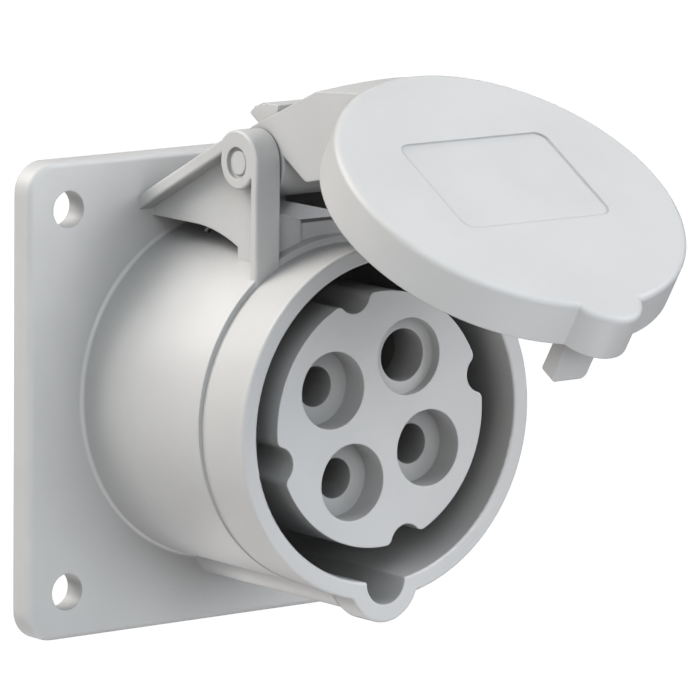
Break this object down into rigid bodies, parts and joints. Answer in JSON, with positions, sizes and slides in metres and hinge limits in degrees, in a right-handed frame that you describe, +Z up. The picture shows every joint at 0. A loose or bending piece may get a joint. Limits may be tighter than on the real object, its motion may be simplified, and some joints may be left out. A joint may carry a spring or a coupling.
{
  "type": "industrial panel socket",
  "caption": "Square-flanged panel socket for round industrial plugs, with a keyed shroud, a round insert with recessed contacts and a sprung hinged lid standing half open.",
  "frame": {"origin": "centre of the flange's rear face, on the socket's axis, in the plane of the panel", "axes": "-Y is the way the socket faces, along its axis; +Z is up, from the socket's axis to the lid's hinge; +X is to the right of someone who faces it"},
  "size_m": [0.075, 0.1216, 0.0912],
  "materials": {
    "light_grey_moulding": "fine satin texture of a moulded polyamide",
    "light_grey_insert": "fine satin moulding",
    "light_grey_pin": "satin",
    "dark_grey_moulding": "satin",
    "black_rubber": "matt",
    "grey_rubber": "matt",
    "spring_steel": "drawn wire",
    "zinc_steel": "zinc plated",
    "contact_brass": "turned"
  },
  "bodies": {
    "socket": {"housing": "light_grey_moulding", "contact_carrier": "light_grey_insert", "carrier_base": "light_grey_insert", "terminal_block": "dark_grey_moulding", "panel_seal": "black_rubber", "carrier_seal": "black_rubber", "hinge_pin": "light_grey_pin", "lid_spring": "spring_steel", "retaining_clip": "spring_steel", "block_screws": "zinc_steel", "contact_earth": "contact_brass", "contact_l1": "contact_brass", "contact_l2": "contact_brass", "contact_l3": "contact_brass", "grip_ring_earth": "spring_steel", "grip_ring_l1": "spring_steel", "grip_ring_l2": "spring_steel", "grip_ring_l3": "spring_steel", "terminal_screw_earth": "zinc_steel", "terminal_screw_l1": "zinc_steel", "terminal_screw_l2": "zinc_steel", "terminal_screw_l3": "zinc_steel"},
    "lid_body": {"lid": "light_grey_moulding", "lid_gasket": "grey_rubber"}
  },
  "joints": [
    {"name": "lid_hinge", "type": "hinge", "parent": "socket", "child": "lid_body", "pos_m": [0, -0.029, 0.0391], "axis": [-1, 0, 0], "range_deg": [-58.7, 51.3], "stiffness_Nm_per_rad": 0.2, "deforming": ["lid_spring"]}
  ]
}
